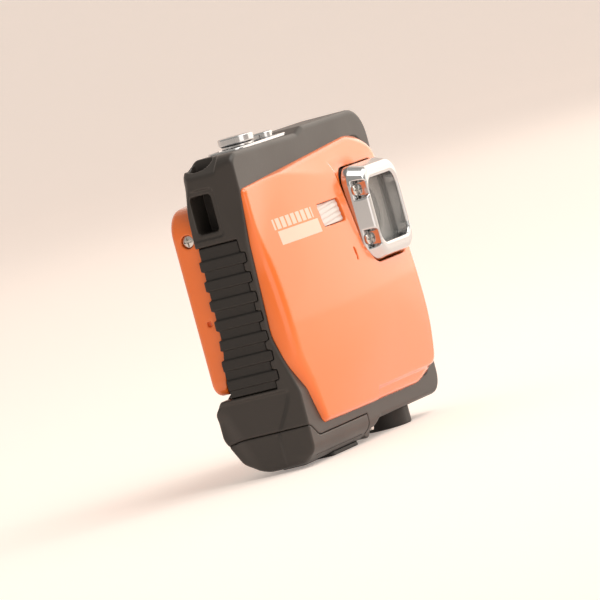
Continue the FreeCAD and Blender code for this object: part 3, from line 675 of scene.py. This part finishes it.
def rocker_field(x, y, z):
    """Zoom rocker, dished in the middle, with a plus and a minus."""
    a, b = x - ZOOM_X, z - ZOOM_Z
    half_a, half_b = ROCKER_HALF
    top = ROCKER_DISH_Y + 0.3 * np.clip((a / 4.5) ** 2, 0, 1)
    outline = rect(a, b, -half_a, half_a, -half_b, half_b, 1.9)
    form = both(outline, np.maximum(y - top, ROCKER_BACK_Y - y), 0.4)
    minus = rect(np.abs(a), b, 2.9, 4.3, -MARK_HALF, MARK_HALF)
    plus = rect(a, b, 3.47, 3.73, -0.7, 0.7)
    form = less(form, np.maximum(np.minimum(minus, plus), 13.5 - y), 0.06)
    fulcrum = np.maximum(disc(x, y, ZOOM_X, FULCRUM_Y, 1.0), span(b, -1.9, 1.9))
    return np.minimum(form, fulcrum)


def screw_field(across, up, out, radius, height=0.8):
    """Domed screw head with a cross slot; out is the height above its seat."""
    top = height - 0.3 * (np.hypot(across, up) / radius) ** 2
    head = both(np.hypot(across, up) - radius, np.maximum(out - top, -out), 0.12)
    a, b = np.abs(across), np.abs(up)
    cross = np.minimum(rect(a, b, -0.7 * radius, 0.7 * radius, -0.16, 0.16),
                       rect(a, b, -0.16, 0.16, -0.7 * radius, 0.7 * radius))
    return less(head, np.maximum(cross, height - 0.5 - out), 0.05)


def pane_field(node, radius, edge):
    """Rounded slab that fills a CAD node's box, its corners rounded as seen from the front."""
    low, high = mm_box(node)

    def field(x, y, z):
        face = rect(x, z, low[0], high[0], low[2], high[2], radius)
        return both(face, span(y, low[1], high[1]), edge)
    return field


def seal_field(x, y, z):
    """Rubber ring in the seam between the case and the front cover."""
    ring_wall = np.abs(cover_outline(x, z) + 1.0) - 0.4
    return both(np.maximum(ring_wall, y), np.abs(case_profile(y, z) + 0.4) - 0.4, 0.1)


def top_plate_field(x, y, z):
    """Chrome plate with a sunk middle and two button openings."""
    form = both(rect(x, y, *PLATE, 3.5), span(z, *PLATE_Z), 0.25)
    form = less(form, np.maximum(rect(x, y, *PLATE_SUNK, 2.6), PLATE_SUNK_Z - z), 0.12)
    form = less(form, disc(x, y, SHUTTER_X, TOP_CONTROL_Y, SHUTTER_R + BUTTON_GAP), 0.2)
    return less(form, disc(x, y, POWER_X, TOP_CONTROL_Y, POWER_R + BUTTON_GAP), 0.2)


def shutter_field(x, y, z):
    """Dished shutter button on its stem."""
    across = np.hypot(x - SHUTTER_X, y - TOP_CONTROL_Y)
    top = SHUTTER_DISH_Z + SHUTTER_DISH * np.clip((across / SHUTTER_DISH_R) ** 2, 0, 1)
    cap = both(across - SHUTTER_R, np.maximum(z - top, SHUTTER_CAP_Z - z), 0.35)
    skirt = both(across - SHUTTER_SKIRT_R, span(z, *SHUTTER_SKIRT_Z), 0.1)
    stem = np.minimum(np.maximum(across - SHUTTER_STEM_R, span(z, STEM_BOTTOM, 71.0)),
                      np.maximum(across - SHUTTER_COLLAR_R, span(z, *COLLAR_Z)))
    return np.minimum(either(cap, skirt, 0.2), stem)


def power_field(x, y, z):
    """Power button with a small dimple, on its stem."""
    across = np.hypot(x - POWER_X, y - TOP_CONTROL_Y)
    cap = both(across - POWER_R, span(z, *POWER_Z), 0.4)
    cap = less(cap, np.sqrt(across ** 2 + (z - POWER_DIMPLE_Z) ** 2) - POWER_DIMPLE_R, 0.1)
    stem = np.minimum(np.maximum(across - POWER_STEM_R, span(z, STEM_BOTTOM, 70.6)),
                      np.maximum(across - POWER_COLLAR_R, span(z, *COLLAR_Z)))
    return np.minimum(cap, stem)


def foot_field(x, y, z):
    """Round rubber foot with concentric grooves underneath."""
    across = np.hypot(x - BUSH_X, y)
    form = both(rect(x - BUSH_X, y, -FOOT_HALF[0], FOOT_HALF[0], -FOOT_HALF[1], FOOT_HALF[1], 5.0),
                span(z, 0.0, FOOT_HEIGHT), 0.35)
    groove = np.maximum(np.abs(across - 4.8) - 0.12, z - 0.3)
    return less(less(form, groove, 0.08), across - BUSH_R, 0.1)


def strip_field(x, y, z):
    """Rubber strip under the door with cross grooves."""
    form = both(rect(x, y, *STRIP, 1.0), span(z, 0.0, STRIP_HEIGHT), 0.2)
    phase = np.abs(np.mod(x, 1.5) - 0.75) - 0.2
    return less(form, np.maximum(np.maximum(phase, z - 0.25), np.abs(y) - 3.2), 0.08)


def latch_field(x, y, z):
    """Latch slider with finger ridges, its stem and retaining foot."""
    pad = both(rect(x, y, *LATCH_PAD, 0.6), span(z, 0.5, 1.3), 0.2)
    ridges = np.maximum(np.abs(np.mod(x - 0.3, 1.1) - 0.55) - 0.22, np.maximum(z - 0.8, np.abs(y) - 2.2))
    pad = less(pad, np.maximum(ridges, np.abs(x + 34.3) - 2.7), 0.08)
    stem = np.maximum(rect(x, y, *LATCH_STEM), span(z, 1.2, 2.4))
    foot = np.maximum(rect(x, y, *LATCH_FOOT, 0.3), span(z, 2.35, 2.9))
    return np.minimum(np.minimum(pad, stem), foot)


def bush_field(x, y, z):
    """Tripod bush with thread grooves in its bore."""
    across = np.hypot(x - BUSH_X, y)
    turn = np.arctan2(y, x - BUSH_X) / (2 * math.pi)
    thread = 0.22 * np.abs(np.mod(z / THREAD_PITCH + turn, 1.0) * 2 - 1)
    form = both(across - BUSH_R, span(z, 0.6, 8.0), 0.2)
    return less(form, np.maximum(across - THREAD_R - thread, z - 6.6))


def mask_field(x, y, z):
    """Grey mask round the lens, its hole stepped and flared."""
    across = np.hypot(x - LENS_X, z - LENS_Z)
    form = both(lens_rect(x, z, PANE_HALF, 1.9), span(y, *MASK_Y), 0.1)
    return less(form, across - MASK_HOLE_R + MASK_FLARE * np.clip(y - MASK_Y[0], 0, 1), 0.15)


def lens_field(x, y, z):
    """Front lens element, crowned."""
    across = np.hypot(x - LENS_X, z - LENS_Z)
    return both(across - LENS_R, np.maximum(LENS_Y[0] + LENS_CROWN * across ** 2 - y, y - LENS_Y[1]), 0.1)


# Meshing


def net(name, field, low, high, step):
    """Mesh of a field's zero surface: one vertex in each crossed cell, moved onto the surface."""
    step = step * FINE
    axes = [np.arange(a - 1.5 * step, b + 2.5 * step, step) for a, b in zip(low, high)]
    shape = tuple(len(axis) for axis in axes)
    values = np.broadcast_to(
        field(axes[0][:, None, None], axes[1][None, :, None], axes[2][None, None, :]), shape)
    values = np.ascontiguousarray(values, dtype=np.float32)
    offsets = [(i, j, k) for i in (0, 1) for j in (0, 1) for k in (0, 1)]
    inside = values < 0
    count = sum(inside[i:shape[0] - 1 + i, j:shape[1] - 1 + j, k:shape[2] - 1 + k].astype(np.int8)
                for i, j, k in offsets)
    cells = np.argwhere((count > 0) & (count < 8))
    number = np.full(count.shape, -1, dtype=np.int64)
    number[tuple(cells.T)] = np.arange(len(cells))
    corner = [values[tuple((cells + offset).T)] for offset in np.array(offsets)]
    total = np.zeros((len(cells), 3))
    hits = np.zeros(len(cells))
    for first in range(8):
        for last in range(first + 1, 8):
            apart = np.array(offsets[last]) - np.array(offsets[first])
            if np.abs(apart).sum() != 1:
                continue
            crossed = (corner[first] < 0) != (corner[last] < 0)
            gap = np.where(crossed, corner[first] - corner[last], 1.0)
            share = np.clip(corner[first] / gap, 0, 1)
            place = np.array(offsets[first]) + share[:, None] * apart
            total += np.where(crossed[:, None], place, 0)
            hits += crossed
    start = np.array([axis[0] for axis in axes])
    points = start + (cells + total / hits[:, None]) * step
    faces = []
    for axis in range(3):
        here = [slice(1, -1)] * 3
        ahead = [slice(1, -1)] * 3
        here[axis] = slice(0, -1)
        ahead[axis] = slice(1, None)
        a, b = inside[tuple(here)], inside[tuple(ahead)]
        edges = np.argwhere(a != b) + np.array([0 if other == axis else 1 for other in range(3)])
        u, v = (axis + 1) % 3, (axis + 2) % 3
        ring = []
        for du, dv in ((-1, -1), (0, -1), (0, 0), (-1, 0)):
            cell = edges.copy()
            cell[:, u] += du
            cell[:, v] += dv
            ring.append(number[tuple(cell.T)])
        quads = np.stack(ring, 1)
        leaving = inside[tuple(edges.T)]
        quads[~leaving] = quads[~leaving][:, ::-1]
        faces.append(quads)
    faces = np.concatenate(faces)
    points, normals = settle(field, points, step)
    points[:, 0] += DRAWN_MIDDLE
    mesh = bpy.data.meshes.new(name)
    mesh.vertices.add(len(points))
    mesh.vertices.foreach_set("co", (points * MM).astype(np.float32).ravel())
    mesh.loops.add(faces.size)
    mesh.loops.foreach_set("vertex_index", faces.astype(np.int32).ravel())
    mesh.polygons.add(len(faces))
    mesh.polygons.foreach_set("loop_start", np.arange(0, faces.size, 4, dtype=np.int32))
    mesh.update(calc_edges=True)
    mesh.validate()
    mesh.shade_smooth()
    mesh.normals_split_custom_set_from_vertices(normals.tolist())
    piece = bpy.data.objects.new(name, mesh)
    bpy.context.scene.collection.objects.link(piece)
    return piece


def slope(field, points, reach):
    """Gradient of a field at points."""
    columns = []
    for axis in range(3):
        shift = np.zeros(3)
        shift[axis] = reach
        above = field(*(points + shift).T)
        below = field(*(points - shift).T)
        columns.append((above - below) / (2 * reach))
    return np.stack(columns, 1)


def settle(field, points, step):
    """Points moved onto the surface, and the surface's normals there."""
    start = points
    for _ in range(2):
        gradient = slope(field, points, 0.02)
        size = np.maximum((gradient ** 2).sum(1), 0.2)
        move = -(field(*points.T) / size)[:, None] * gradient
        points = points + np.clip(move, -0.3 * step, 0.3 * step)
    points = start + np.clip(points - start, -0.6 * step, 0.6 * step)
    normals = slope(field, points, 0.4 * step)
    return points, normals / np.maximum(np.linalg.norm(normals, axis=1), 1e-9)[:, None]


# Materials


def finish_material(name, colour, roughness, grain=0.0, grain_size=0.4, vary=0.06, rough_vary=0.08,
                    metallic=0.0, coat=0.0, alpha=1.0, glow=0.0, print_marks=False):
    """Material with colour drift, uneven gloss and a fine grain, all from solid noise."""
    material = bpy.data.materials.new(name)
    material.use_nodes = True
    tree = material.node_tree
    nodes, links = tree.nodes, tree.links
    shader = nodes["Principled BSDF"]
    place = nodes.new("ShaderNodeTexCoord").outputs["Object"]
    broad = nodes.new("ShaderNodeTexNoise")
    broad.inputs["Scale"].default_value = 90.0
    broad.inputs["Detail"].default_value = 4.0
    links.new(place, broad.inputs["Vector"])
    tint = nodes.new("ShaderNodeMix")
    tint.data_type = "RGBA"
    tint.inputs["A"].default_value = [c * (1 - vary) for c in colour] + [1.0]
    tint.inputs["B"].default_value = [min(c * (1 + vary), 1.0) for c in colour] + [1.0]
    links.new(broad.outputs["Fac"], tint.inputs["Factor"])
    surface = tint.outputs["Result"]
    if print_marks:
        surface = printed(tree, place, surface)
    links.new(surface, shader.inputs["Base Color"])
    spread = nodes.new("ShaderNodeMapRange")
    spread.inputs["To Min"].default_value = max(roughness - rough_vary, 0.02)
    spread.inputs["To Max"].default_value = roughness + rough_vary
    links.new(broad.outputs["Fac"], spread.inputs["Value"])
    links.new(spread.outputs["Result"], shader.inputs["Roughness"])
    if grain > 0:
        fine = nodes.new("ShaderNodeTexNoise")
        fine.inputs["Scale"].default_value = 1.0 / (grain_size * MM)
        fine.inputs["Detail"].default_value = 3.0
        links.new(place, fine.inputs["Vector"])
        bump = nodes.new("ShaderNodeBump")
        bump.inputs["Strength"].default_value = 1.0
        bump.inputs["Distance"].default_value = grain * MM
        links.new(fine.outputs["Fac"], bump.inputs["Height"])
        links.new(bump.outputs["Normal"], shader.inputs["Normal"])
    shader.inputs["Metallic"].default_value = metallic
    shader.inputs["Coat Weight"].default_value = coat
    shader.inputs["Coat Roughness"].default_value = 0.06
    shader.inputs["Alpha"].default_value = alpha
    shader.inputs["Emission Color"].default_value = list(colour) + [1.0]
    shader.inputs["Emission Strength"].default_value = glow
    return material


def printed(tree, place, surface):
    """Pale dashes over a pale block, mixed into the surface colour."""
    nodes, links = tree.nodes, tree.links
    split = nodes.new("ShaderNodeSeparateXYZ")
    links.new(place, split.inputs["Vector"])

    def math_node(operation, first, second):
        node = nodes.new("ShaderNodeMath")
        node.operation = operation
        for socket, value in zip(node.inputs, (first, second)):
            if isinstance(value, (int, float)):
                socket.default_value = value
            else:
                links.new(value, socket)
        return node.outputs[0]

    def near(value, middle, half):
        away = math_node("ABSOLUTE", math_node("SUBTRACT", value, middle * MM), 0.0)
        return math_node("LESS_THAN", away, half * MM)

    def box(middle, half):
        across = near(split.outputs["X"], middle[0] + DRAWN_MIDDLE, half[0])
        up = near(split.outputs["Z"], middle[1], half[1])
        return math_node("MULTIPLY", across, up)

    pitch = PRINT_DASHES["pitch"] * MM
    wrapped = math_node("MODULO", math_node("ADD", split.outputs["X"], 100 * pitch), pitch)
    dashes = math_node("MULTIPLY", box(PRINT_DASHES["middle"], PRINT_DASHES["half"]),
                       math_node("LESS_THAN", wrapped, 0.72 * pitch))
    mask = math_node("MAXIMUM", dashes, box(PRINT_BLOCK["middle"], PRINT_BLOCK["half"]))
    front = math_node("LESS_THAN", split.outputs["Y"], 0.0)
    mask = math_node("MULTIPLY", math_node("MULTIPLY", mask, front), 0.75)
    mixed = nodes.new("ShaderNodeMix")
    mixed.data_type = "RGBA"
    links.new(mask, mixed.inputs["Factor"])
    links.new(surface, mixed.inputs["A"])
    mixed.inputs["B"].default_value = PRINT_COLOUR
    return mixed.outputs["Result"]


materials = {slot: finish_material(slot, **values) for slot, values in FINISHES.items()}
front_orange = finish_material("orange_printed", **FINISHES["orange_gloss"], print_marks=True)
mask_grey = finish_material("mask_grey", (0.20, 0.19, 0.18), 0.5, grain=0.004)
node_slot = {entry["node"]: entry["material_slot"] for entry in frame["record"]["subparts"]}
node_body = {node: body for body, members in frame["record"]["behaviour"]["bodies"].items()
             for node in members}


def dress(piece, node, material=None):
    """Gives a piece the body of the CAD node that it stands for and the material of that node's slot,
    unless another material is given.
    """
    piece.data.materials.clear()
    piece.data.materials.append(material or materials[node_slot[node]])
    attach(piece, node_body[node])
    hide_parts(node)


def spring(name, node, wire, turns):
    """Round-wire coil that fills its CAD node's box."""
    low, high = mm_box(node)
    middle = (low + high) / 2
    along = np.linspace(0, 1, COIL_STEPS * turns + 1)[:, None]
    angle = 2 * math.pi * turns * along
    around = np.arange(WIRE_SIDES) * 2 * math.pi / WIRE_SIDES
    reach = (high[0] - low[0]) / 2 - wire + wire * np.cos(around)
    x = middle[0] + DRAWN_MIDDLE + reach * np.cos(angle)
    y = middle[1] + reach * np.sin(angle)
    z = low[2] + wire + (high[2] - low[2] - 2 * wire) * along + wire * np.sin(around)
    last = COIL_STEPS * turns * WIRE_SIDES
    faces = [tuple(range(WIRE_SIDES)), tuple(last + side for side in reversed(range(WIRE_SIDES)))]
    for start in range(0, last, WIRE_SIDES):
        for side in range(WIRE_SIDES):
            here, beside = start + side, start + (side + 1) % WIRE_SIDES
            faces.append((here, here + WIRE_SIDES, beside + WIRE_SIDES, beside))
    mesh = bpy.data.meshes.new(name)
    mesh.from_pydata((np.stack((x, y, z), -1).reshape(-1, 3) * MM).tolist(), [], faces)
    mesh.shade_smooth()
    piece = bpy.data.objects.new(name, mesh)
    bpy.context.scene.collection.objects.link(piece)
    dress(piece, node)
    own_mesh(piece)


def fitted(name, node, field, step, material=None):
    """Piece meshed inside its CAD node's own box."""
    low, high = mm_box(node)
    dress(net(name, field, low - 0.1, high + 0.1, step), node, material)


for node, thing in frame["nodes"].items():
    thing.data.materials.clear()
    thing.data.materials.append(materials[node_slot[node]])

# Moulded pieces: each is meshed between two corners, at a cell size in millimetres
dress(net("case_shell", case_field, (-41, -8, 0.3), (35.9, 14.3, 71.1), 0.36), "body_frame")
dress(net("door_shell", door_field, (-41, -8, 0.3), (-3, 14.3, 9.1), 0.30), "battery_door")
dress(net("front_shell", cover_field, (-40, -12.4, 7.7), (33.5, -3, 66.8), 0.32), "front_cover",
      front_orange)
dress(net("rear_shell", rear_field, (-39.3, 7.0, 19.1), (33.7, 13.7, 64.7), 0.34), "rear_cover")
dress(net("grip", grip_field, (-41, -3.6, 18.2), (-36.4, 8.6, 51.8), 0.24), "grip_pad")
dress(net("seal_ring", seal_field, (-39.5, -8, 8.2), (33, -1.5, 66.4), 0.34), "front_seal")
fitted("bezel", "lens_bezel", bezel_field, 0.18)
dress(net("flash_lens", flash_field, (-10.5, -11.2, 48.2), (0.7, -8.1, 53.6), 0.14), "flash_window")
fitted("window_pane", "lens_window", pane_field("lens_window", 1.9, 0.15), 0.2)
fitted("mask_ring", "lens_mask", mask_field, 0.2, mask_grey)
fitted("front_element", "front_lens", lens_field, 0.2)
fitted("chrome_plate", "top_plate", top_plate_field, 0.15)
fitted("shutter_cap", "shutter_button", shutter_field, 0.16)
spring("shutter_coil", "shutter_spring", wire=0.18, turns=4)
spring("power_coil", "power_spring", wire=0.15, turns=5)
fitted("power_cap", "power_button", power_field, 0.14)
fitted("display_pane", "lcd_window", pane_field("lcd_window", 1.9, 0.25), 0.25)
fitted("rocker", "zoom_rocker", rocker_field, 0.14)
fitted("rubber_foot", "foot_pad", foot_field, 0.16)
fitted("rubber_strip", "door_foot", strip_field, 0.14)
fitted("latch_slider", "door_latch", latch_field, 0.13)
fitted("threaded_bush", "tripod_bush", bush_field, 0.14)
fitted("lamp", "status_led", pane_field("status_led", 0.7, 0.2), 0.12)
for node in KEYS:
    fitted(node.replace("key_", "cap_"), node, key_field(node), 0.13)
for index, (side, rise) in enumerate(((-1, -1), (-1, 1), (1, -1), (1, 1)), 1):
    spot = (LENS_X + side * SCREW_X, LENS_Z + rise * SCREW_Z)
    dress(net(f"bezel_screw_{index}",
              lambda x, y, z: screw_field(x - spot[0], z - spot[1], GLASS_Y - y, HEAD_R),
              (spot[0] - 1.4, GLASS_Y - 0.9, spot[1] - 1.4), (spot[0] + 1.4, GLASS_Y + 0.1, spot[1] + 1.4),
              0.09), "bezel_screws")
for index, spot in enumerate(CASE_SCREWS, 1):
    dress(net(f"case_screw_{index}",
              lambda x, y, z: screw_field(x - spot[0], z - spot[1], y - SCREW_SEAT_Y, HEAD_R),
              (spot[0] - 1.4, SCREW_SEAT_Y - 0.1, spot[1] - 1.4),
              (spot[0] + 1.4, SCREW_SEAT_Y + 0.9, spot[1] + 1.4), 0.1), "case_screws")
for index, (side, seat) in enumerate(SIDE_SCREW_SEATS, 1):
    ends = sorted((seat - 0.1 * side, seat + 1.0 * side))
    dress(net(f"side_screw_{index}",
              lambda x, y, z: screw_field(y - SIDE_SCREW_Y, z - SIDE_SCREW_Z, (x - seat) * side,
                                          SIDE_HEAD_R, 0.9),
              (ends[0], 8.4, 52.2), (ends[1], 11.4, 55.2), 0.1), "side_screws")


# Stage, lights and camera


def stage_sweep():
    """Pale floor that curves up into a backdrop behind the camera's subject."""
    turn = math.radians(VIEW_AZIMUTH)
    away = Vector((-math.sin(turn), math.cos(turn), 0))
    side = Vector((math.cos(turn), math.sin(turn), 0))
    profile = [(FLOOR_START, 0.0), (BACKDROP_START, 0.0)]
    profile += [(BACKDROP_START + BACKDROP_R * math.sin(a), BACKDROP_R - BACKDROP_R * math.cos(a))
                for a in np.linspace(0.1, math.pi / 2, 12)]
    profile.append((BACKDROP_START + BACKDROP_R, BACKDROP_TOP))
    vertices = []
    for along, up in profile:
        for reach in (-FLOOR_HALF_WIDTH, FLOOR_HALF_WIDTH):
            vertices.append(away * along + side * reach + Vector((0, 0, up)))
    faces = [(2 * i, 2 * i + 1, 2 * i + 3, 2 * i + 2) for i in range(len(profile) - 1)]
    mesh = bpy.data.meshes.new("sweep")
    mesh.from_pydata([tuple(v) for v in vertices], [], faces)
    mesh.shade_smooth()
    floor = bpy.data.objects.new("sweep", mesh)
    bpy.context.scene.collection.objects.link(floor)
    mesh.materials.append(finish_material("cream_paper", (0.92, 0.82, 0.76), 0.9, vary=0.01,
                                          rough_vary=0.02, glow=0.3))


def area_light(name, azimuth, elevation, distance, size, power, colour):
    """Soft light that faces the object."""
    a, e = math.radians(azimuth), math.radians(elevation)
    towards = Vector((math.sin(a) * math.cos(e), -math.cos(a) * math.cos(e), math.sin(e)))
    data = bpy.data.lights.new(name, "AREA")
    data.shape = "RECTANGLE"
    data.size, data.size_y = size
    data.energy = power
    data.color = colour
    lamp = bpy.data.objects.new(name, data)
    lamp.location = Vector((0, 0, LOOK_HEIGHT)) + towards * distance
    lamp.rotation_euler = towards.to_track_quat("Z", "Y").to_euler()
    bpy.context.scene.collection.objects.link(lamp)


def add_camera():
    """Camera at the photograph's viewing angle, rolled as the photograph shows the object leaning."""
    azimuth, elevation, roll = (math.radians(v) for v in (VIEW_AZIMUTH, VIEW_ELEVATION, VIEW_ROLL))
    target = Vector((DRAWN_MIDDLE * MM, LOOK_Y, LOOK_HEIGHT))
    towards = Vector((math.sin(azimuth) * math.cos(elevation), -math.cos(azimuth) * math.cos(elevation),
                      math.sin(elevation)))
    level_right = Vector((math.cos(azimuth), math.sin(azimuth), 0))
    level_up = towards.cross(level_right)
    right = math.cos(roll) * level_right + math.sin(roll) * level_up
    up = towards.cross(right)
    data = bpy.data.cameras.new("camera")
    data.sensor_width = SENSOR
    data.lens = FOCAL_LENGTH
    data.shift_x, data.shift_y = FRAME_SHIFT
    data.clip_end = 20.0
    camera = bpy.data.objects.new("camera", data)
    turn = Matrix((right, up, towards)).transposed().to_4x4()
    camera.matrix_world = Matrix.Translation(target + towards * VIEW_DISTANCE) @ turn
    bpy.context.scene.collection.objects.link(camera)
    bpy.context.scene.camera = camera


stage_sweep()
add_camera()
# Azimuth and elevation in degrees, distance and size in metres, power in watts
area_light("key", 10.0, 55.0, 0.9, (0.8, 0.6), 4.6, (1.0, 0.97, 0.92))
area_light("card", 62.0, 12.0, 1.3, (2.0, 1.6), 12.5, (1.0, 0.93, 0.83))
area_light("front", -28.0, 8.0, 1.0, (0.5, 0.7), 1.3, (1.0, 0.96, 0.92))
world = bpy.data.worlds.new("studio")
world.use_nodes = True
world.node_tree.nodes["Background"].inputs["Color"].default_value = WORLD_COLOUR
world.node_tree.nodes["Background"].inputs["Strength"].default_value = WORLD_STRENGTH
bpy.context.scene.world = world
bpy.context.scene.view_settings.view_transform = "Standard"
